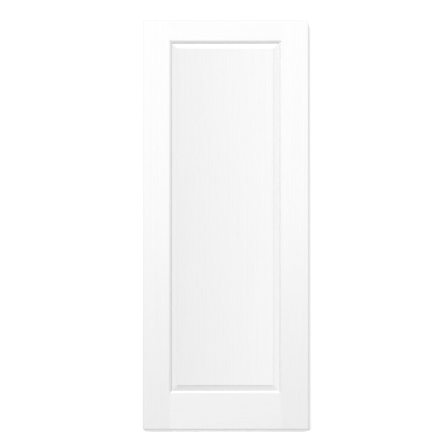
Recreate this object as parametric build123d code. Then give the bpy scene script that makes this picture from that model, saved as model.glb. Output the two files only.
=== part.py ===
from build123d import *
import os

# A door leaf of solid foamed plastic, built as stiles and rails round one raised panel.
# All sizes are in millimetres. The leaf stands upright: x runs from the hinge edge to the lock edge,
# y from the front face to the back face with mid-thickness at 0, and z up from the bottom edge.

# Leaf
leaf_width = 800.0
leaf_height = 1980.0
leaf_thickness = 35.0
arris_radius = 1.0  # round along the outer edges of both faces

# Frame members
stile_width = 130.5
top_rail_width = 104.0
bottom_rail_width = 172.5

# Groove round the inside of the frame, for the panel's tongue and the rails' tenons
groove_width = 14.5
groove_depth = 14.0
fit_clearance = 0.2  # on each side of a tongue or tenon, and at a tenon's end
panel_float = 2.0  # left at the bottom of the groove for the panel to grow into

# Ovolo bead planted between frame and panel, on both faces
bead_width = 10.0
bead_setback = 2.8  # top of the bead below the frame's face
bead_flat = 0.6  # flat beside the frame, before the curve starts
bead_nose = 2.6  # height left where the curve ends, at the panel

# Raised panel, the same on both faces
bevel_width = 27.5
field_recess = 1.2  # field below the frame's face
field_step = 0.5  # from the top of the bevel up to the field
field_edge_radius = 0.4

# Places that the members, the panel and the beads share
half_thickness = leaf_thickness / 2
tongue_thickness = groove_width - 2 * fit_clearance
tenon_length = groove_depth - fit_clearance
tongue_length = groove_depth - panel_float
opening_left = stile_width
opening_right = leaf_width - stile_width
opening_bottom = bottom_rail_width
opening_top = leaf_height - top_rail_width
opening_x = (opening_left, opening_right)
face_to_face = (-half_thickness, half_thickness)
groove_y = (-groove_width / 2, groove_width / 2)
tongue_y = (-tongue_thickness / 2, tongue_thickness / 2)
front_normal = Vector(0, -1, 0)


def block(x_span, y_span, z_span):
    """A rectangular block between two values on each axis, given in any order."""
    spans = [sorted(span) for span in (x_span, y_span, z_span)]
    low = [span[0] for span in spans]
    size = [span[1] - span[0] for span in spans]
    return Pos(*low) * Box(*size, align=(Align.MIN, Align.MIN, Align.MIN))


def leaf_envelope():
    """The whole leaf with its arrises rounded: a section run up it, shared with one run across it."""
    plan = Pos(leaf_width / 2, 0) * RectangleRounded(leaf_width, leaf_thickness, arris_radius)
    end_view = Pos(0, leaf_height / 2) * RectangleRounded(leaf_thickness, leaf_height, arris_radius)
    return extrude(plan, leaf_height) & extrude(Plane.YZ * end_view, leaf_width)


def make_hinge_stile(envelope):
    """A full-height stile, grooved along its inner edge."""
    blank = block((0, stile_width), face_to_face, (0, leaf_height)) & envelope
    groove = block((stile_width - groove_depth, stile_width), groove_y, (0, leaf_height))
    return blank - groove


def make_rail(envelope, inner_z, outer_z):
    """A rail between the stiles, grooved for the panel, with a stub tenon at each end."""
    outward = 1 if outer_z > inner_z else -1
    groove_bottom = inner_z + outward * groove_depth
    tenon_x = (opening_left - tenon_length, opening_right + tenon_length)
    blank = block(opening_x, face_to_face, (inner_z, outer_z)) & envelope
    groove = block(opening_x, groove_y, (inner_z, groove_bottom))
    tenons = block(tenon_x, tongue_y, (groove_bottom, outer_z))
    return blank - groove + tenons


def make_panel():
    """A tongue all round, and on each face a bevelled margin that rises to a flat field."""
    tongue_x = (opening_left - tongue_length, opening_right + tongue_length)
    tongue_z = (opening_bottom - tongue_length, opening_top + tongue_length)
    tongue = block(tongue_x, tongue_y, tongue_z)

    foot_width = opening_right - opening_left - 2 * bead_width
    foot_height = opening_top - opening_bottom - 2 * bead_width
    field_width = foot_width - 2 * bevel_width
    field_height = foot_height - 2 * bevel_width
    bevel_foot = tongue_thickness / 2
    bevel_top = half_thickness - field_recess - field_step
    panel_centre = Vector(leaf_width / 2, 0, (opening_bottom + opening_top) / 2)
    front = Plane(panel_centre, x_dir=(1, 0, 0), z_dir=front_normal)

    foot_outline = front.offset(bevel_foot) * Rectangle(foot_width, foot_height)
    field_outline = front.offset(bevel_top) * Rectangle(field_width, field_height)
    bevel = loft([foot_outline, field_outline])
    field = extrude(field_outline, field_step)
    field_face = field.faces().sort_by(Axis.Y)[0]
    field = fillet(field_face.edges(), field_edge_radius)
    raising = bevel + field
    return tongue + raising + mirror(raising, Plane.XZ)


def make_front_bead(start, end):
    """An ovolo bead along one side of the opening, mitred at both ends.

    From start to end the frame is on the bead's outer side, so the panel lies to its inner side.
    """
    along = (end - start).normalized()
    inward = front_normal.cross(along)
    bead_height = half_thickness - bead_setback - tongue_thickness / 2
    section = Plane(start, x_dir=inward, z_dir=along)
    straight_sides = Polyline(
        (bead_flat, bead_height), (0, bead_height), (0, 0), (bead_width, 0), (bead_width, bead_nose)
    )
    ovolo = TangentArc((bead_flat, bead_height), (bead_width, bead_nose), tangent=(1, 0))
    profile = make_face(straight_sides + ovolo)
    moulding = extrude(section * profile, (end - start).length)

    inner_start = start + (inward + along) * bead_width
    inner_end = end + (inward - along) * bead_width
    mitred_outline = make_face(Polyline(start, end, inner_end, inner_start, close=True))
    return moulding & extrude(mitred_outline, bead_height, dir=front_normal)


def make_front_beads():
    """The four beads of the front face, named for the side of the opening that they follow."""
    seat = -tongue_thickness / 2
    top_left = Vector(opening_left, seat, opening_top)
    bottom_left = Vector(opening_left, seat, opening_bottom)
    bottom_right = Vector(opening_right, seat, opening_bottom)
    top_right = Vector(opening_right, seat, opening_top)
    return {
        "hinge_side": make_front_bead(top_left, bottom_left),
        "bottom": make_front_bead(bottom_left, bottom_right),
        "lock_side": make_front_bead(bottom_right, top_right),
        "top": make_front_bead(top_right, top_left),
    }


envelope = leaf_envelope()
hinge_stile = make_hinge_stile(envelope)
pieces = {
    "hinge_stile": hinge_stile,
    "lock_stile": mirror(hinge_stile, Plane.YZ.offset(leaf_width / 2)),
    "top_rail": make_rail(envelope, opening_top, leaf_height),
    "bottom_rail": make_rail(envelope, opening_bottom, 0),
    "raised_panel": make_panel(),
}
for side, bead in make_front_beads().items():
    pieces["front_bead_" + side] = bead
    pieces["back_bead_" + side] = mirror(bead, Plane.XZ)

os.makedirs("parts", exist_ok=True)
for name, piece in pieces.items():
    export_step(piece, "parts/" + name + ".step")
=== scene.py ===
import math

import bmesh
import bpy
from mathutils import Matrix, Vector


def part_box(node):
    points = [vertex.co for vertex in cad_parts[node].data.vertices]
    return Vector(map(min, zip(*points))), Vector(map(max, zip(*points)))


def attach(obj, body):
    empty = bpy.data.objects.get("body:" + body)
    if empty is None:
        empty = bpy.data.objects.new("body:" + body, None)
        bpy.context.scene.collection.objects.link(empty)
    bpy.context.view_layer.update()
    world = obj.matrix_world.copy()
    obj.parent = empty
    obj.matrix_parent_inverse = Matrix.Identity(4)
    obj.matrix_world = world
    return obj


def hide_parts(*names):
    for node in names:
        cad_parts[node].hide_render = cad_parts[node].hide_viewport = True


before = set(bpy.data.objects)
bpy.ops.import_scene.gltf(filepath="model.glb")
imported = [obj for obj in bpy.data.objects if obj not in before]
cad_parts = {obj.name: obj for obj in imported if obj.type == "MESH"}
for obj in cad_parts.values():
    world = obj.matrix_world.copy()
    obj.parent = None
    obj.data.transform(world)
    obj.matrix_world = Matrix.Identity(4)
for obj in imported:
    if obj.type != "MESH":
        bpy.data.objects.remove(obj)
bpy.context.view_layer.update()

mm = 0.001
axisX, axisY, axisZ = 0, 1, 2
noiseLow, noiseHigh = 0.3, 0.7  # a noise texture's values seldom leave this range
oneBand = math.tau / 20  # a wave texture of this scale has one band to each unit
mixFrom, mixTo, mixResult = 6, 7, 2  # colour sockets of a mix node
plainWhite = "#FFFFFF"

# where the members meet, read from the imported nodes
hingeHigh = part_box("hinge_stile")[1]
lockLow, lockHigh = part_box("lock_stile")
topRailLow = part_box("top_rail")[0]
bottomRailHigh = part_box("bottom_rail")[1]
panelLow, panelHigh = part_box("raised_panel")
beadLow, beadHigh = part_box("front_bead_top")
leafWidth = lockHigh.x
leafHeight = hingeHigh.z
halfThickness = hingeHigh.y
openLeft, openRight = hingeHigh.x, lockLow.x
openBottom, openTop = bottomRailHigh.z, topRailLow.z
beadWidth = beadHigh.z - beadLow.z
beadHeight = beadHigh.y - beadLow.y
beadSeat = -beadHigh.y  # from mid-thickness out to the panel's margin, where the beads sit
tenonLength = openLeft - topRailLow.x


def hexColour(code):
    # sRGB to linear
    channels = [int(code[i:i + 2], 16) / 255 for i in (1, 3, 5)]
    linear = [c / 12.92 if c <= 0.04045 else ((c + 0.055) / 1.055) ** 2.4 for c in channels]
    return (*linear, 1.0)


def addNode(tree, kind, inputs=None, **settings):
    # an input that is a socket is linked, any other is set
    node = tree.nodes.new(kind)
    for name, value in settings.items():
        setattr(node, name, value)
    for socket, value in (inputs or {}).items():
        if isinstance(value, bpy.types.NodeSocket):
            tree.links.new(value, node.inputs[socket])
        else:
            node.inputs[socket].default_value = value
    return node


def newMaterial(name):
    material = bpy.data.materials.new(name)
    material.use_nodes = True
    material.node_tree.nodes.clear()
    return material, material.node_tree


def grainScale(axis, width, length):
    # one unit of the pattern is this wide across the grain and this long along it, in mm
    scale = [1 / (width * mm)] * 3
    scale[axis] = 1 / (length * mm)
    return scale


def coatSurface(tree, colour, roughness, height, ior):
    # the height is in mm, so the bump's distance is one of them
    bump = addNode(tree, "ShaderNodeBump", {"Height": height, "Distance": 1 * mm, "Strength": 1.0})
    surface = addNode(tree, "ShaderNodeBsdfPrincipled", {
        "Base Color": colour, "Roughness": roughness, "Normal": bump.outputs[0], "IOR": ior})
    addNode(tree, "ShaderNodeOutputMaterial", {"Surface": surface.outputs[0]})


# Foamed PVC skins
# Foamed PVC with a hard white skin, embossed between rolls while warm. It gives a soft satin white,
# a shade greyer along the pressed pores, and dull cut cells where it is sawn through.
skinLook = {
    "white": "#E9E9E9",
    "pore": "#E6E6E6",  # tone of a pressed pore
    "cut": "#DDDDDB",  # sawn ends
    "ior": 1.53,
    "roughness": 0.46,
    "poreRoughness": 0.14,  # added in a pore
    "cutRoughness": 0.3,  # added on a sawn end
    "facing": (0.6, 0.9),  # cosine of the turn from the front or back where the press starts and is full
    "sawn": (0.8, 0.95),  # the same for the cut cells, turned from the grain's ends
    "poreWidth": 1.4,  # mm, drawn coarse: real ones are nearer 0.5 and would not show
    "poreLength": 60.0,  # mm
    "poreDepth": 0.04,  # mm
    "poreNoise": (0.56, 0.7),  # noise at which a pore starts and is full
    "streakWidth": 7.0,  # mm, faint light and dark bands along the grain
    "streakLength": 600.0,  # mm
    "streakTone": 0.008,  # this and the other tones are shares of the plain white
    "lineSpacing": 14.5,  # mm, drawn coarse: real ones are 3 to 5 and would not show
    "lineWander": 1.5,
    "lineTone": 0.007,
    "edgeDarkWidth": 9.0,  # mm along the hinge edge and the top edge, which are drawn darker
    "edgeDarkTone": 0.07,
    "slope": (0.1, 0.26),  # sine of the tilt where a slope starts, above most of the embossing, and is full
    "upSlopeShadeTone": 0.08,  # painted shade: a slope that looks up is drawn darker, to dim the light it catches
    "lockSlopeLightTone": 0.022,  # painted light: a slope that looks to the lock edge is drawn paler
    "stepShadeTone": 0.045,  # painted shade along the foot of the step round the panel's field
    "stipple": 0.7,  # mm, matt grain of the rolled skin
    "stippleDepth": 0.02,  # mm
    "cell": 1.6,  # mm, drawn coarse: the foam's cells are about 0.3
    "cellDepth": 0.25,  # mm
}


def pressedPores(tree, place, grainAxis, onFace):
    look = skinLook
    least, most = look["poreNoise"]
    stretched = addNode(tree, "ShaderNodeMapping", {
        "Vector": place, "Scale": grainScale(grainAxis, look["poreWidth"], look["poreLength"])})
    noise = addNode(tree, "ShaderNodeTexNoise", {
        "Vector": stretched.outputs[0], "Scale": 1.0, "Detail": 1.0})
    pressed = addNode(tree, "ShaderNodeMapRange", {
        "Value": noise.outputs[0], "From Min": least, "From Max": most}, interpolation_type="SMOOTHSTEP")
    pore = addNode(tree, "ShaderNodeMath", {0: pressed.outputs[0], 1: onFace}, operation="MULTIPLY")
    return pore.outputs[0]


def grainTones(tree, place, kind):
    # faint bands along the grain: uneven streaks, and lines that are evenly spaced
    look = skinLook
    grainAxis = kind["grain"]
    streakPlace = addNode(tree, "ShaderNodeMapping", {
        "Vector": place, "Scale": grainScale(grainAxis, look["streakWidth"], look["streakLength"])})
    streaks = addNode(tree, "ShaderNodeTexNoise", {
        "Vector": streakPlace.outputs[0], "Scale": 1.0, "Detail": 2.0})
    streak = addNode(tree, "ShaderNodeMapRange", {
        "Value": streaks.outputs[0], "From Min": noiseLow, "From Max": noiseHigh,
        "To Min": 1 - look["streakTone"], "To Max": 1 + look["streakTone"]})

    linePlace = addNode(tree, "ShaderNodeMapping", {
        "Vector": place, "Scale": grainScale(grainAxis, look["lineSpacing"], look["streakLength"])})
    lines = addNode(tree, "ShaderNodeTexWave", {
        "Vector": linePlace.outputs[0], "Scale": oneBand, "Distortion": look["lineWander"],
        "Detail": 2.0, "Detail Scale": 1.0}, bands_direction="Z" if grainAxis == axisX else "X")
    lineTone = look["lineTone"] * kind["press"]
    line = addNode(tree, "ShaderNodeMapRange", {
        "Value": lines.outputs["Fac"], "To Min": 1 - lineTone, "To Max": 1 + lineTone})
    return [streak, line]


def paintedShadeAndLight(tree, place, normal):
    # painted shade and light: darker on a slope that looks up, paler on one that looks to the lock edge,
    # darker along the foot of the panel's step; and darker along the hinge edge and the top edge
    look = skinLook
    least, most = look["slope"]
    tones = []
    # painted shade on slopes that look up, painted light on slopes that look to the lock edge
    for axis, tone in ((axisZ, 1 - look["upSlopeShadeTone"]), (axisX, 1 + look["lockSlopeLightTone"])):
        tones.append(addNode(tree, "ShaderNodeMapRange", {
            "Value": normal[axis], "From Min": least, "From Max": most, "To Min": 1.0, "To Max": tone}))

    # painted shade along the foot of the panel's step
    stepShade = addNode(tree, "ShaderNodeAttribute", attribute_name="stepShade")
    tones.append(addNode(tree, "ShaderNodeMapRange", {
        "Value": stepShade.outputs["Fac"], "To Min": 1.0, "To Max": 1 - look["stepShadeTone"]}))

    spot = addNode(tree, "ShaderNodeSeparateXYZ", {0: place}).outputs
    # darker along the hinge edge and the top edge
    width, darkened = look["edgeDarkWidth"] * mm, 1 - look["edgeDarkTone"]
    for axis, edge, inside in ((axisX, 0.0, width), (axisZ, leafHeight, leafHeight - width)):
        tones.append(addNode(tree, "ShaderNodeMapRange", {
            "Value": spot[axis], "From Min": edge, "From Max": inside, "To Min": darkened, "To Max": 1.0}))
    return tones


def paintedLightDrift(tree, place, kind):
    # painted light and shade: a piece's tone drifts from left to right and from foot to head of the opening,
    # after the way the light falls on it
    spot = addNode(tree, "ShaderNodeSeparateXYZ", {0: place}).outputs
    halfway = (openBottom + openTop) / 2
    drifts = (
        (axisX, openLeft, openRight, kind["left"], kind["right"]),
        (axisZ, openBottom, halfway, kind["foot"], kind["middle"]),
        (axisZ, halfway, openTop, 1.0, kind["head"] / kind["middle"]),
    )
    return [addNode(tree, "ShaderNodeMapRange", {
        "Value": spot[axis], "From Min": low, "From Max": high, "To Min": start, "To Max": end})
        for axis, low, high, start, end in drifts]


def skinHeight(tree, place, pore, onEnd):
    # in mm: pores pressed in, the stipple of the rolls, and cells on the sawn ends
    look = skinLook
    stipple = addNode(tree, "ShaderNodeTexNoise", {"Vector": place, "Scale": 1 / (look["stipple"] * mm)})
    cells = addNode(tree, "ShaderNodeTexVoronoi", {"Vector": place, "Scale": 1 / (look["cell"] * mm)})
    pressedIn = addNode(tree, "ShaderNodeMath", {0: pore, 1: -look["poreDepth"]}, operation="MULTIPLY")
    grained = addNode(tree, "ShaderNodeMath", {
        0: stipple.outputs[0], 1: look["stippleDepth"], 2: pressedIn.outputs[0]}, operation="MULTIPLY_ADD")
    cut = addNode(tree, "ShaderNodeMath", {0: cells.outputs["Distance"], 1: onEnd}, operation="MULTIPLY")
    height = addNode(tree, "ShaderNodeMath", {
        0: cut.outputs[0], 1: look["cellDepth"], 2: grained.outputs[0]}, operation="MULTIPLY_ADD")
    return height.outputs[0]


def embossedSkin(kind):
    look = skinLook
    grainAxis = kind["grain"]
    material, tree = newMaterial(kind["name"])
    place = addNode(tree, "ShaderNodeTexCoord").outputs["Object"]
    geometry = addNode(tree, "ShaderNodeNewGeometry")
    normal = addNode(tree, "ShaderNodeSeparateXYZ", {0: geometry.outputs["Normal"]}).outputs

    # the press reaches the two faces only, and the grain's own ends are sawn
    shares = []
    for axis, (least, most) in ((axisY, look["facing"]), (grainAxis, look["sawn"])):
        turned = addNode(tree, "ShaderNodeMath", {0: normal[axis]}, operation="ABSOLUTE")
        share = addNode(tree, "ShaderNodeMapRange", {
            "Value": turned.outputs[0], "From Min": least, "From Max": most}, interpolation_type="SMOOTHSTEP")
        shares.append(share.outputs[0])
    onFace, onEnd = shares

    pore = pressedPores(tree, place, grainAxis, onFace)
    tones = grainTones(tree, place, kind) + paintedShadeAndLight(tree, place, normal) + paintedLightDrift(tree, place, kind)
    tone = tones[0]
    for other in tones[1:]:
        tone = addNode(tree, "ShaderNodeMath", {
            0: tone.outputs[0], 1: other.outputs[0]}, operation="MULTIPLY")
    white = addNode(tree, "ShaderNodeMix", {
        0: pore, mixFrom: hexColour(look["white"]), mixTo: hexColour(look["pore"])}, data_type="RGBA")
    skin = addNode(tree, "ShaderNodeVectorMath", {
        0: white.outputs[mixResult], "Scale": tone.outputs[0]}, operation="SCALE")
    colour = addNode(tree, "ShaderNodeMix", {
        0: onEnd, mixFrom: skin.outputs[0], mixTo: hexColour(look["cut"])}, data_type="RGBA")

    rough = addNode(tree, "ShaderNodeMath", {
        0: pore, 1: look["poreRoughness"], 2: look["roughness"]}, operation="MULTIPLY_ADD")
    rougher = addNode(tree, "ShaderNodeMath", {
        0: onEnd, 1: look["cutRoughness"], 2: rough.outputs[0]}, operation="MULTIPLY_ADD")
    height = skinHeight(tree, place, pore, onEnd)
    coatSurface(tree, colour.outputs[mixResult], rougher.outputs[0], height, look["ior"])
    return material


# press is how hard a piece is pressed, and left to head are painted light and shade, as its tones against the
# plain white
skinKinds = {
    "stile": {
        "name": "foamed PVC, skin embossed upright", "grain": axisZ, "press": 1.0,
        "left": 0.998, "right": 1.008, "foot": 0.977, "middle": 1.006, "head": 0.985},
    "topRail": {
        "name": "foamed PVC, skin embossed across, top", "grain": axisX, "press": 0.15,
        "left": 0.98, "right": 0.98, "foot": 1.0, "middle": 1.0, "head": 1.0},
    "bottomRail": {
        "name": "foamed PVC, skin embossed across, bottom", "grain": axisX, "press": 0.15,
        "left": 1.02, "right": 1.02, "foot": 1.0, "middle": 1.0, "head": 1.0},
    "panel": {
        "name": "foamed PVC sheet, skin embossed upright", "grain": axisZ, "press": 1.0,
        "left": 0.914, "right": 1.022, "foot": 1.038, "middle": 0.989, "head": 0.951},
}
skins = {label: embossedSkin(kind) for label, kind in skinKinds.items()}


# Extruded PVC beads
# Extruded PVC, which the die leaves smoother than the pressed skins. It gives an even satin white, with
# faint lines along its length.
beadLook = {
    # a shade darker than the skins' white, as painted shade in the recess round the panel
    "white": "#E3E3E3",
    "ior": 1.53,
    "roughness": 0.38,
    "roughnessSpread": 0.04,
    "dieLine": 1.2,  # mm between die lines, drawn coarse: real ones are finer and would not show
    "dieLength": 400.0,  # mm
    "dieDepth": 0.012,  # mm
    "dieTone": 0.012,  # share of the white
}


def extrudedBead(kind):
    look = beadLook
    material, tree = newMaterial(kind["name"])
    place = addNode(tree, "ShaderNodeTexCoord").outputs["Object"]
    stretched = addNode(tree, "ShaderNodeMapping", {
        "Vector": place, "Scale": grainScale(kind["along"], look["dieLine"], look["dieLength"])})
    lines = addNode(tree, "ShaderNodeTexNoise", {
        "Vector": stretched.outputs[0], "Scale": 1.0, "Detail": 1.0}).outputs[0]
    spread = []
    for centre, reach in ((kind["tone"], look["dieTone"]), (look["roughness"], look["roughnessSpread"])):
        spread.append(addNode(tree, "ShaderNodeMapRange", {
            "Value": lines, "From Min": noiseLow, "From Max": noiseHigh,
            "To Min": centre - reach, "To Max": centre + reach}).outputs[0])
    tone, rough = spread
    colour = addNode(tree, "ShaderNodeVectorMath", {
        0: hexColour(look["white"])[:3], "Scale": tone}, operation="SCALE")
    height = addNode(tree, "ShaderNodeMath", {0: lines, 1: look["dieDepth"]}, operation="MULTIPLY")
    coatSurface(tree, colour.outputs[0], rough, height.outputs[0], look["ior"])
    return material


# tone is painted shade and light: the upright beads are drawn darker, the hinge side one most, and the level
# beads paler, after the way the light falls on them
beadKinds = {
    "hinge_side": {"name": "extruded PVC, hinge side bead", "along": axisZ, "tone": 0.935},
    "lock_side": {"name": "extruded PVC, lock side bead", "along": axisZ, "tone": 0.955},
    "level": {"name": "extruded PVC, level bead", "along": axisX, "tone": 1.04},
}
beadSkins = {label: extrudedBead(kind) for label, kind in beadKinds.items()}
print("materials: ", len(bpy.data.materials))


def newTree(name, sockets):
    tree = bpy.data.node_groups.new(name, "GeometryNodeTree")
    tree.interface.new_socket("Geometry", in_out="OUTPUT", socket_type="NodeSocketGeometry")
    for label, kind in sockets.items():
        tree.interface.new_socket(label, in_out="INPUT", socket_type="NodeSocket" + kind)
    given = addNode(tree, "NodeGroupInput").outputs
    return tree, given


def endTree(tree, geometry, material):
    real = addNode(tree, "GeometryNodeRealizeInstances", {0: geometry})
    coated = addNode(tree, "GeometryNodeSetMaterial", {"Geometry": real.outputs[0], "Material": material})
    addNode(tree, "NodeGroupOutput", {0: coated.outputs[0]})


def runTree(tree, mesh, values):
    carrier = bpy.data.objects.new("carrier", mesh)
    bpy.context.scene.collection.objects.link(carrier)
    modifier = carrier.modifiers.new("tree", "NODES")
    modifier.node_group = tree
    for socket in tree.interface.items_tree:
        if socket.in_out == "INPUT" and socket.name in values:
            modifier[socket.identifier] = values[socket.name]
    graph = bpy.context.evaluated_depsgraph_get()
    made = bpy.data.meshes.new_from_object(carrier.evaluated_get(graph))
    bpy.data.objects.remove(carrier)
    bpy.data.meshes.remove(mesh)
    return made


# Embossing
# The press pattern that the eye can follow is real relief: lines along the grain, which sway a little and
# come and go, with narrower and shallower strokes among them
embossing = {
    "Line spacing": skinLook["lineSpacing"] * mm,
    "Line depth": 0.26 * mm,
    "Line sway": 3.5,  # spacings
    "Stroke width": 7.0 * mm,
    "Stroke length": 300.0 * mm,
    "Stroke depth": 0.05 * mm,
}
embossNoise = {
    "stroke": (0.42, 0.66),  # noise at which a stroke starts and is full
    "line": (0.35, 0.6),  # noise at which a line is faintest and at its full depth
    "faintest": 0.2,  # share of its depth that a faint line keeps
    "swayScale": 0.25,  # lines sway over about four strokes
}


def embossTree():
    tree, given = newTree("woodgrain emboss", {
        "Geometry": "Geometry", "Line spacing": "Float", "Line depth": "Float", "Line sway": "Float",
        "Stroke width": "Float", "Stroke length": "Float", "Stroke depth": "Float", "Press": "Float",
        "Grain level": "Bool", "Seed": "Float", "Material": "Material"})
    position = addNode(tree, "GeometryNodeInputPosition")
    x, y, z = addNode(tree, "ShaderNodeSeparateXYZ", {0: position.outputs[0]}).outputs
    across = addNode(tree, "GeometryNodeSwitch", {
        "Switch": given["Grain level"], "False": x, "True": z}, input_type="FLOAT").outputs[0]
    along = addNode(tree, "GeometryNodeSwitch", {
        "Switch": given["Grain level"], "False": z, "True": x}, input_type="FLOAT").outputs[0]
    acrossCount = addNode(tree, "ShaderNodeMath", {0: across, 1: given["Stroke width"]}, operation="DIVIDE")
    alongCount = addNode(tree, "ShaderNodeMath", {0: along, 1: given["Stroke length"]}, operation="DIVIDE")
    side = addNode(tree, "ShaderNodeMath", {0: y}, operation="SIGN").outputs[0]
    spot = addNode(tree, "ShaderNodeCombineXYZ", {
        0: acrossCount.outputs[0], 1: side, 2: alongCount.outputs[0]}).outputs[0]
    noise = addNode(tree, "ShaderNodeTexNoise", {
        "Vector": spot, "W": given["Seed"], "Scale": 1.0, "Detail": 1.5}, noise_dimensions="4D").outputs[0]
    least, most = embossNoise["stroke"]
    stroke = addNode(tree, "ShaderNodeMapRange", {
        "Value": noise, "From Min": least, "From Max": most}, interpolation_type="SMOOTHSTEP")
    strokeSunk = addNode(tree, "ShaderNodeMath", {
        0: stroke.outputs[0], 1: given["Stroke depth"]}, operation="MULTIPLY")

    sway = addNode(tree, "ShaderNodeTexNoise", {
        "Vector": spot, "W": given["Seed"], "Scale": embossNoise["swayScale"], "Detail": 0.0},
        noise_dimensions="4D")
    lineCount = addNode(tree, "ShaderNodeMath", {0: across, 1: given["Line spacing"]}, operation="DIVIDE")
    swayed = addNode(tree, "ShaderNodeMath", {
        0: sway.outputs[0], 1: given["Line sway"], 2: lineCount.outputs[0]}, operation="MULTIPLY_ADD")
    turn = addNode(tree, "ShaderNodeMath", {0: swayed.outputs[0], 1: math.tau}, operation="MULTIPLY")
    wave = addNode(tree, "ShaderNodeMath", {0: turn.outputs[0]}, operation="SINE")
    line = addNode(tree, "ShaderNodeMapRange", {"Value": wave.outputs[0], "From Min": -1.0, "From Max": 1.0})
    least, most = embossNoise["line"]
    kept = addNode(tree, "ShaderNodeMapRange", {
        "Value": noise, "From Min": least, "From Max": most,
        "To Min": embossNoise["faintest"], "To Max": 1.0})
    lineDepth = addNode(tree, "ShaderNodeMath", {
        0: kept.outputs[0], 1: given["Line depth"]}, operation="MULTIPLY")
    bothSunk = addNode(tree, "ShaderNodeMath", {
        0: line.outputs[0], 1: lineDepth.outputs[0], 2: strokeSunk.outputs[0]}, operation="MULTIPLY_ADD")

    # the press fades out towards a piece's edges
    reach = addNode(tree, "GeometryNodeInputNamedAttribute", {"Name": "reach"}, data_type="FLOAT")
    share = addNode(tree, "ShaderNodeMath", {0: reach.outputs[0], 1: given["Press"]}, operation="MULTIPLY")
    sunk = addNode(tree, "ShaderNodeMath", {
        0: bothSunk.outputs[0], 1: share.outputs[0]}, operation="MULTIPLY")
    inward = addNode(tree, "ShaderNodeMath", {0: side, 1: -1.0}, operation="MULTIPLY")
    shift = addNode(tree, "ShaderNodeMath", {0: sunk.outputs[0], 1: inward.outputs[0]}, operation="MULTIPLY")
    offset = addNode(tree, "ShaderNodeCombineXYZ", {axisY: shift.outputs[0]})
    moved = addNode(tree, "GeometryNodeSetPosition", {
        "Geometry": given["Geometry"], "Offset": offset.outputs[0]})
    clean = addNode(tree, "GeometryNodeRemoveAttribute", {"Geometry": moved.outputs[0], "Name": "reach"})
    endTree(tree, clean.outputs[0], given["Material"])
    return tree


emboss = embossTree()


def embossed(mesh, label, seed):
    kind = skinKinds[label]
    values = dict(embossing, Material=skins[label], Seed=seed, Press=kind["press"])
    values["Grain level"] = kind["grain"] == axisX
    return runTree(emboss, mesh, values)


sharpAngle = math.radians(35)  # edges that turn more than this stay sharp


def finishPiece(name, mesh, node):
    mesh.name = name
    mesh.shade_smooth()
    mesh.set_sharp_from_angle(angle=sharpAngle)
    piece = bpy.data.objects.new(name, mesh)
    bpy.context.scene.collection.objects.link(piece)
    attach(piece, "root")
    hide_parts(node)
    triangles = sum(len(face.vertices) - 2 for face in mesh.polygons)
    print("piece: ", name, triangles, "triangles")


# Face grid, shared by the members and the panel
faceGrid = {
    "acrossStep": 1.8 * mm,  # across the grain, fine enough for the embossed lines
    "alongStep": 16.0 * mm,
    "hold": 0.5 * mm,  # a grid line this close to each round keeps the flat beside it flat in the light
    "plainEdge": 5.0 * mm,  # the press fades out over this
}


def evenSteps(start, end, step):
    count = max(1, round((end - start) / step))
    return [start + (end - start) * i / count for i in range(count + 1)]


def smoothRamp(distance, width):
    t = min(max(distance / width, 0.0), 1.0)
    return t * t * (3 - 2 * t)


def closedMesh(bm, name):
    bmesh.ops.recalc_face_normals(bm, faces=bm.faces)
    mesh = bpy.data.meshes.new(name)
    bm.to_mesh(mesh)
    bm.free()
    return mesh


# Stiles and rails
memberForm = {
    "arris": 1.0 * mm,  # outer edges of both faces
    "ease": 0.4 * mm,  # taken off where a member meets a bead or another member
    "clearance": 0.2 * mm,  # round a tenon in its groove
    "roundSteps": 5,
}


def roundInset(distance, radius):
    if distance >= radius:
        return 0.0
    return radius - math.sqrt(radius ** 2 - (radius - distance) ** 2)


def gridLines(start, end, startRound, endRound, step):
    steps, hold = memberForm["roundSteps"], faceGrid["hold"]
    turns = [1 - math.cos(math.radians(90 * i / steps)) for i in range(steps + 1)]
    first = [start + startRound * turn for turn in turns]
    last = [end - endRound * turn for turn in reversed(turns)]
    return first + evenSteps(first[-1] + hold, last[0] - hold, step) + last


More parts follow.
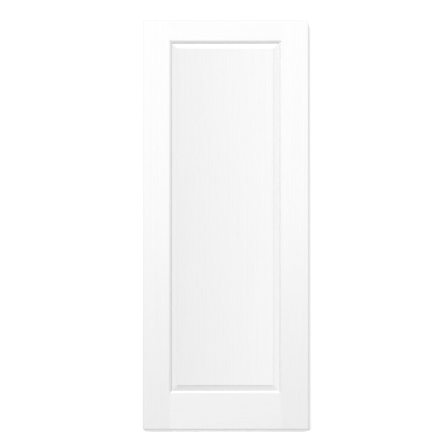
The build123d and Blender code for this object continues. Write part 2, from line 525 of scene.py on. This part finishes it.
def memberMesh(member):
    # u runs in from the member's outer edge, and v along its length
    arris, ease, clearance = (memberForm[size] for size in ("arris", "ease", "clearance"))
    width, endRound, place = member["width"], member["endRound"], member["place"]
    start, end = member["span"]
    us = gridLines(0, width, arris, ease, faceGrid["acrossStep"])
    vs = gridLines(start, end, endRound, endRound, faceGrid["alongStep"])
    grooveFoot = width - tenonLength - clearance
    tenonSide = beadSeat
    grooveSide = tenonSide + clearance
    grooveWalk = [(width, -grooveSide), (grooveFoot, -grooveSide), (grooveFoot, -tenonSide),
                  (grooveFoot, tenonSide), (grooveFoot, grooveSide), (width, grooveSide)]
    edgeWalk = [(0, tenonSide), (0, -tenonSide)]

    bm = bmesh.new()
    reach = bm.verts.layers.float.new("reach")

    def facePoint(u, v, side):
        inset = max(roundInset(u, arris), roundInset(width - u, ease),
                    roundInset(v - start, endRound), roundInset(end - v, endRound))
        vert = bm.verts.new(place(u, side * (halfThickness - inset), v))
        into = min(u - arris, width - u - ease, v - start, end - v)
        vert[reach] = smoothRamp(into, faceGrid["plainEdge"])
        return vert

    # each loop runs over the front face, through the groove, over the back face and round the outer edge
    loops = []
    for v in vs:
        loop = [facePoint(u, v, -1) for u in us]
        loop += [bm.verts.new(place(u, y, v)) for u, y in grooveWalk]
        loop += [facePoint(u, v, 1) for u in reversed(us)]
        loop += [bm.verts.new(place(u, y, v)) for u, y in edgeWalk]
        loops.append(loop)
    around = len(loops[0])
    for near, far in zip(loops, loops[1:]):
        for i in range(around):
            k = (i + 1) % around
            bm.faces.new((near[i], near[k], far[k], far[i]))

    half = len(us) + len(grooveWalk) // 2  # where a loop passes from the front half to the back half
    for loop, v, outward in ((loops[0], start, -1), (loops[-1], end, 1)):
        if not member["tenoned"]:
            bm.faces.new(loop)
            continue
        # two shoulders with the stub tenon between them
        outerBack, outerFront = loop[-2:]
        bm.faces.new([outerFront] + loop[:half])
        bm.faces.new(loop[half:-2] + [outerBack])
        root = [outerFront, loop[half - 1], loop[half], outerBack]
        corners = [(0, -tenonSide), (grooveFoot, -tenonSide), (grooveFoot, tenonSide), (0, tenonSide)]
        tip = [bm.verts.new(place(u, y, v + outward * tenonLength)) for u, y in corners]
        for i in range(len(tip)):
            k = (i + 1) % len(tip)
            bm.faces.new((root[i], root[k], tip[k], tip[i]))
        bm.faces.new(tip)
    return closedMesh(bm, "member")


stile = {
    "skin": "stile", "width": openLeft, "span": (0, leafHeight), "endRound": memberForm["arris"],
    "tenoned": False,
}
rail = {"span": (openLeft, openRight), "endRound": memberForm["ease"], "tenoned": True}
members = {
    "hinge_stile": dict(stile, seed=1.3, place=lambda u, y, v: (u, y, v)),
    "lock_stile": dict(stile, seed=5.7, place=lambda u, y, v: (leafWidth - u, y, v)),
    "top_rail": dict(rail, skin="topRail", seed=9.1, width=leafHeight - openTop,
                     place=lambda u, y, v: (v, y, leafHeight - u)),
    "bottom_rail": dict(rail, skin="bottomRail", seed=12.6, width=openBottom,
                        place=lambda u, y, v: (v, y, u)),
}
for node, member in members.items():
    mesh = embossed(memberMesh(member), member["skin"], member["seed"])
    finishPiece("embossed_" + node, mesh, node)


# Raised panel
panelForm = {
    "bevel": 27.5 * mm,
    "bevelSteps": 12,
    "step": 1.5 * mm,  # from the bevel up to the field
    "stepLean": 0.1 * mm,  # the step's top stands this much further in than its foot
    "stepRound": 0.4 * mm,
    "roundSteps": 3,
    "stepShade": 3.0 * mm,  # width of the painted shade along the step's foot
    "seed": 21.4,
}


def panelProfile():
    # distance in from the bead's foot, and height out from mid-thickness
    form, hold = panelForm, faceGrid["hold"]
    field = panelHigh.y
    shoulder = field - form["step"]
    profile = []
    for distance in [0.0] + evenSteps(hold, form["bevel"], form["bevel"] / form["bevelSteps"]):
        share = distance / form["bevel"]
        profile.append((distance, beadSeat + (shoulder - beadSeat) * share))
    radius = form["stepRound"]
    for i in range(form["roundSteps"] + 1):
        angle = math.radians(90 * i / form["roundSteps"])
        distance = form["bevel"] + form["stepLean"] + radius * (1 - math.cos(angle))
        profile.append((distance, field - radius + radius * math.sin(angle)))
    return profile + [(distance + hold, field)]


def panelMesh():
    form = panelForm
    profile = panelProfile()
    tongue = openLeft - panelLow.x  # how far the panel runs into the grooves
    inner = profile[-1][0]
    lines = [-beadWidth - tongue] + [distance for distance, _ in profile]
    heights = [beadSeat] + [height for _, height in profile]
    fieldRing = len(lines) - 1
    stepFoot = form["bevel"] + form["stepLean"] / 2  # just past the bevel's last line
    # painted shade along the foot of the step
    stepShaded = [0 < stepFoot - distance < form["stepShade"] for distance in lines]

    def places(low, high, step):
        first = [low + beadWidth + d for d in lines]
        last = [high - beadWidth - d for d in reversed(lines)]
        return first[:-1] + evenSteps(low + beadWidth + inner, high - beadWidth - inner, step) + last[1:]

    xs = places(openLeft, openRight, faceGrid["acrossStep"])
    zs = places(openBottom, openTop, faceGrid["alongStep"])
    nx, nz = len(xs), len(zs)

    bm = bmesh.new()
    reach = bm.verts.layers.float.new("reach")
    stepShade = bm.verts.layers.float.new("stepShade")
    sides = []
    for side in (-1, 1):
        rows = []
        for i, x in enumerate(xs):
            row = []
            for j, z in enumerate(zs):
                ring = min(i, nx - 1 - i, j, nz - 1 - j, fieldRing)
                vert = bm.verts.new((x, side * heights[ring], z))
                into = min(x - openLeft, openRight - x, z - openBottom, openTop - z) - beadWidth - inner
                vert[reach] = smoothRamp(into, faceGrid["plainEdge"])
                vert[stepShade] = float(stepShaded[ring])
                row.append(vert)
            rows.append(row)
        sides.append(rows)
        for i in range(nx - 1):
            for j in range(nz - 1):
                a, b, c, d = rows[i][j], rows[i + 1][j], rows[i + 1][j + 1], rows[i][j + 1]
                fromSide, fromEnd = min(i, nx - 2 - i), min(j, nz - 2 - j)
                if fromSide != fromEnd or fromSide >= fieldRing:
                    bm.faces.new((a, b, c, d))
                elif (i < nx / 2) == (j < nz / 2):  # the mitre runs from a to c
                    bm.faces.new((a, b, c))
                    bm.faces.new((a, c, d))
                else:
                    bm.faces.new((a, b, d))
                    bm.faces.new((b, c, d))
    front, back = sides
    rim = [(i, 0) for i in range(nx - 1)] + [(nx - 1, j) for j in range(nz - 1)]
    rim += [(i, nz - 1) for i in range(nx - 1, 0, -1)] + [(0, j) for j in range(nz - 1, 0, -1)]
    for (i, j), (k, l) in zip(rim, rim[1:] + rim[:1]):
        bm.faces.new((front[i][j], front[k][l], back[k][l], back[i][j]))
    return closedMesh(bm, "panel")


finishPiece("embossed_panel", embossed(panelMesh(), "panel", panelForm["seed"]), "raised_panel")


# Ovolo beads
# One tree draws the section from its corners, rounds them, pushes it out to length and mitres the ends
beadForm = {
    "Flat": 0.6 * mm,  # beside the frame, before the curve starts
    "Nose": 2.6 * mm,  # height left where the curve ends, at the panel
    "Ease": 0.4 * mm,  # on the other corners
    "Mitre gap": 0.12 * mm,  # each end is set back by this
    "Round steps": 9,
    "Weld": 0.001 * mm,  # points closer than this become one
}


def beadTree():
    tree, given = newTree("ovolo bead", {
        "Length": "Float", "Width": "Float", "Height": "Float", "Flat": "Float", "Nose": "Float",
        "Ease": "Float", "Shoulder": "Float", "Round": "Float", "Round steps": "Int", "Weld": "Float",
        "Mitre gap": "Float", "Material": "Material"})
    corners = [(0.0, 0.0), (given["Width"], 0.0), (given["Width"], given["Nose"]),
               (given["Shoulder"], given["Height"]), (0.0, given["Height"])]
    shoulder = 3  # the corner of these that takes the large round
    intFirst, intSecond = 2, 3  # whole-number sockets of a compare node

    index = addNode(tree, "GeometryNodeInputIndex").outputs[0]
    choose = addNode(tree, "GeometryNodeIndexSwitch", {"Index": index}, data_type="VECTOR")
    while len(choose.index_switch_items) < len(corners):
        choose.index_switch_items.new()
    for i, (across, out) in enumerate(corners):
        point = addNode(tree, "ShaderNodeCombineXYZ", {0: across, 1: out})
        tree.links.new(point.outputs[0], choose.inputs[i + 1])  # after the index itself
    ring = addNode(tree, "GeometryNodeMeshCircle", {"Vertices": len(corners)})
    outline = addNode(tree, "GeometryNodeSetPosition", {
        "Geometry": ring.outputs[0], "Position": choose.outputs[0]})
    curve = addNode(tree, "GeometryNodeMeshToCurve", {"Mesh": outline.outputs[0]})
    atShoulder = addNode(tree, "FunctionNodeCompare", {
        intFirst: index, intSecond: shoulder}, data_type="INT", operation="EQUAL")
    radius = addNode(tree, "GeometryNodeSwitch", {
        "Switch": atShoulder.outputs[0], "False": given["Ease"], "True": given["Round"]}, input_type="FLOAT")
    rounded = addNode(tree, "GeometryNodeFilletCurve", {
        "Curve": curve.outputs[0], "Radius": radius.outputs[0], "Count": given["Round steps"],
        "Limit Radius": True}, mode="POLY")

    section = addNode(tree, "GeometryNodeFillCurve", {"Curve": rounded.outputs[0]}, mode="NGONS")
    away = addNode(tree, "ShaderNodeCombineXYZ", {axisZ: given["Length"]})
    pushed = addNode(tree, "GeometryNodeExtrudeMesh", {
        "Mesh": section.outputs[0], "Offset": away.outputs[0], "Individual": False}, mode="FACES")
    foot = addNode(tree, "GeometryNodeFlipFaces", {"Mesh": section.outputs[0]})
    joined = addNode(tree, "GeometryNodeJoinGeometry")
    tree.links.new(foot.outputs[0], joined.inputs[0])
    tree.links.new(pushed.outputs[0], joined.inputs[0])
    closed = addNode(tree, "GeometryNodeMergeByDistance", {
        "Geometry": joined.outputs[0], "Distance": given["Weld"]})

    # each end slides back by its point's distance across the bead, which cuts the mitre
    position = addNode(tree, "GeometryNodeInputPosition")
    place = addNode(tree, "ShaderNodeSeparateXYZ", {0: position.outputs[0]}).outputs
    middle = addNode(tree, "ShaderNodeMath", {0: given["Length"], 1: 0.5}, operation="MULTIPLY")
    far = addNode(tree, "ShaderNodeMath", {0: place[axisZ], 1: middle.outputs[0]}, operation="GREATER_THAN")
    sign = addNode(tree, "ShaderNodeMapRange", {"Value": far.outputs[0], "To Min": 1.0, "To Max": -1.0})
    back = addNode(tree, "ShaderNodeMath", {0: place[axisX], 1: given["Mitre gap"]}, operation="ADD")
    slide = addNode(tree, "ShaderNodeMath", {0: back.outputs[0], 1: sign.outputs[0]}, operation="MULTIPLY")
    offset = addNode(tree, "ShaderNodeCombineXYZ", {axisZ: slide.outputs[0]})
    mitred = addNode(tree, "GeometryNodeSetPosition", {
        "Geometry": closed.outputs[0], "Offset": offset.outputs[0]})
    endTree(tree, mitred.outputs[0], given["Material"])
    return tree


ovolo = beadTree()


def makeBead(node, start, end, outward, material):
    # the arc leaves the flat level with the face, and its tangents cross at the shoulder
    form = beadForm
    run, drop = beadWidth - form["Flat"], beadHeight - form["Nose"]
    radius = (run ** 2 + drop ** 2) / (2 * drop)
    turn = math.asin(run / radius)
    along = (end - start).normalized()
    inward = outward.cross(along)
    values = dict(form, Length=(end - start).length, Width=beadWidth, Height=beadHeight, Material=material)
    values["Round"] = radius
    values["Shoulder"] = form["Flat"] + radius * math.tan(turn / 2)
    mesh = runTree(ovolo, bpy.data.meshes.new("empty"), values)
    placing = Matrix((inward, outward, along)).transposed().to_4x4()
    placing.translation = start
    mesh.transform(placing)
    finishPiece("ovolo_" + node, mesh, node)


corners = {
    "topLeft": (openLeft, openTop), "bottomLeft": (openLeft, openBottom),
    "bottomRight": (openRight, openBottom), "topRight": (openRight, openTop),
}
frontRun = {
    "hinge_side": ("topLeft", "bottomLeft"), "bottom": ("bottomLeft", "bottomRight"),
    "lock_side": ("bottomRight", "topRight"), "top": ("topRight", "topLeft"),
}
for side, run in frontRun.items():
    material = beadSkins.get(side, beadSkins["level"])
    for face, outward in (("front", Vector((0, -1, 0))), ("back", Vector((0, 1, 0)))):
        ends = [Vector((corners[c][0], outward.y * beadSeat, corners[c][1])) for c in run]
        if face == "back":
            ends.reverse()
        makeBead(face + "_bead_" + side, ends[0], ends[1], outward, material)


# Studio, with sizes in metres
worldForm = {
    "seen": 1.0,  # plain white round the leaf
    "light": 0.535,  # that falls on the leaf
}


def studioWorld():
    world = bpy.data.worlds.new("white studio")
    bpy.context.scene.world = world
    world.use_nodes = True
    tree = world.node_tree
    tree.nodes.clear()
    white = hexColour(plainWhite)
    seen = addNode(tree, "ShaderNodeBackground", {"Color": white, "Strength": worldForm["seen"]})
    light = addNode(tree, "ShaderNodeBackground", {"Color": white, "Strength": worldForm["light"]})
    path = addNode(tree, "ShaderNodeLightPath")
    mixed = addNode(tree, "ShaderNodeMixShader", {
        0: path.outputs["Is Camera Ray"], 1: light.outputs[0], 2: seen.outputs[0]})
    addNode(tree, "ShaderNodeOutputWorld", {"Surface": mixed.outputs[0]})


mattRoughness = 0.9


def stagePlane(name, corners, form, oneSided):
    # matt paint shows as an even white without gloss, and a faint glow lifts it towards the white round it
    mesh = bpy.data.meshes.new(name)
    mesh.from_pydata(corners, [], [range(len(corners))])
    paint, tree = newMaterial("matt white paint, " + name)
    surface = addNode(tree, "ShaderNodeBsdfPrincipled", {
        "Base Color": hexColour(form["colour"]), "Roughness": mattRoughness,
        "Emission Color": hexColour(plainWhite), "Emission Strength": form["glow"]})
    shown = surface.outputs[0]
    if oneSided:
        back = addNode(tree, "ShaderNodeNewGeometry").outputs["Backfacing"]
        clear = addNode(tree, "ShaderNodeBsdfTransparent")
        shown = addNode(tree, "ShaderNodeMixShader", {0: back, 1: shown, 2: clear.outputs[0]}).outputs[0]
    addNode(tree, "ShaderNodeOutputMaterial", {"Surface": shown})
    mesh.materials.append(paint)
    plane = bpy.data.objects.new(name, mesh)
    bpy.context.scene.collection.objects.link(plane)
    return plane


floorForm = {
    "drop": 0.0135,  # the leaf hangs clear of the floor
    "size": 14.0,
    "colour": "#EFEFEF",
    "glow": 0.1,
}


def studioFloor():
    # its bounce is off, because it would light the underside of the top bead
    half = floorForm["size"] / 2
    left, right = leafWidth / 2 - half, leafWidth / 2 + half
    level = -floorForm["drop"]
    corners = [(left, -half, level), (right, -half, level), (right, half, level), (left, half, level)]
    floor = stagePlane("floor", corners, floorForm, False)
    floor.visible_diffuse = False


wallForm = {
    "gap": 0.012,  # behind the leaf, for the thin shadow beside it
    "size": 4.0,
    "colour": "#E7E7E7",
    "glow": 0.22,
}


def studioWall():
    # seen from the front only, so that the leaf's back can be looked at, and kept out of its light
    half = wallForm["size"] / 2
    left, right = leafWidth / 2 - half, leafWidth / 2 + half
    low, high = -floorForm["drop"], wallForm["size"]
    depth = halfThickness + wallForm["gap"]
    corners = [(left, depth, low), (right, depth, low), (right, depth, high), (left, depth, high)]
    wall = stagePlane("wall", corners, wallForm, True)
    wall.visible_shadow = wall.visible_diffuse = wall.visible_glossy = False


softboxes = {
    "key": {"from": (-2.6, -9.2, 9.3), "size": 3.1, "energy": 1330.0},
    "front": {"from": (0.0, -3.0, 0.6), "size": 1.5, "energy": 8.0},
    "rearLeft": {"from": (-6.5, 3.5, 5.0), "size": 2.4, "energy": 330.0},
    "rearRight": {"from": (5.5, 3.8, 7.0), "size": 2.4, "energy": 420.0},
}


def softbox(name, form):
    # placed from the leaf's centre, and turned to face it
    lamp = bpy.data.lights.new(name + " softbox", "AREA")
    lamp.energy = form["energy"]
    lamp.size = form["size"]
    box = bpy.data.objects.new(name + " softbox", lamp)
    away = Vector(form["from"])
    box.location = Vector((leafWidth / 2, 0, leafHeight / 2)) + away
    box.rotation_euler = (-away).to_track_quat("-Z", "Y").to_euler()
    bpy.context.scene.collection.objects.link(box)


studioWorld()
studioFloor()
studioWall()
for name, form in softboxes.items():
    softbox(name, form)
print("studio: ", len(softboxes), "softboxes")


# Camera, square to the leaf as in the photograph
view = {
    "frame": 447,  # pixels across the photograph
    "leafCentre": (225.3, 224.15),  # pixel where the leaf's centre lies
    "leafPixels": 409.7,  # leaf's height
    "distance": 8.0,  # metres
    "farthest": 100.0,  # metres
    "sensor": 36.0,  # mm
}
pixel = leafHeight / view["leafPixels"]
middle = view["frame"] / 2
centreX, centreY = view["leafCentre"]
camera = bpy.data.objects.new("camera", bpy.data.cameras.new("camera"))
camera.data.sensor_width = view["sensor"]
camera.data.lens = view["sensor"] * view["distance"] / (view["frame"] * pixel)
camera.data.clip_end = view["farthest"]
camera.location = (leafWidth / 2 - (centreX - middle) * pixel,
                   -halfThickness - view["distance"],
                   leafHeight / 2 + (centreY - middle) * pixel)
camera.rotation_euler = (math.radians(90), 0, 0)  # level, facing the leaf
bpy.context.scene.collection.objects.link(camera)
bpy.context.scene.camera = camera
bpy.context.scene.view_settings.view_transform = "Standard"
print("camera: ", round(camera.data.lens), "mm lens")
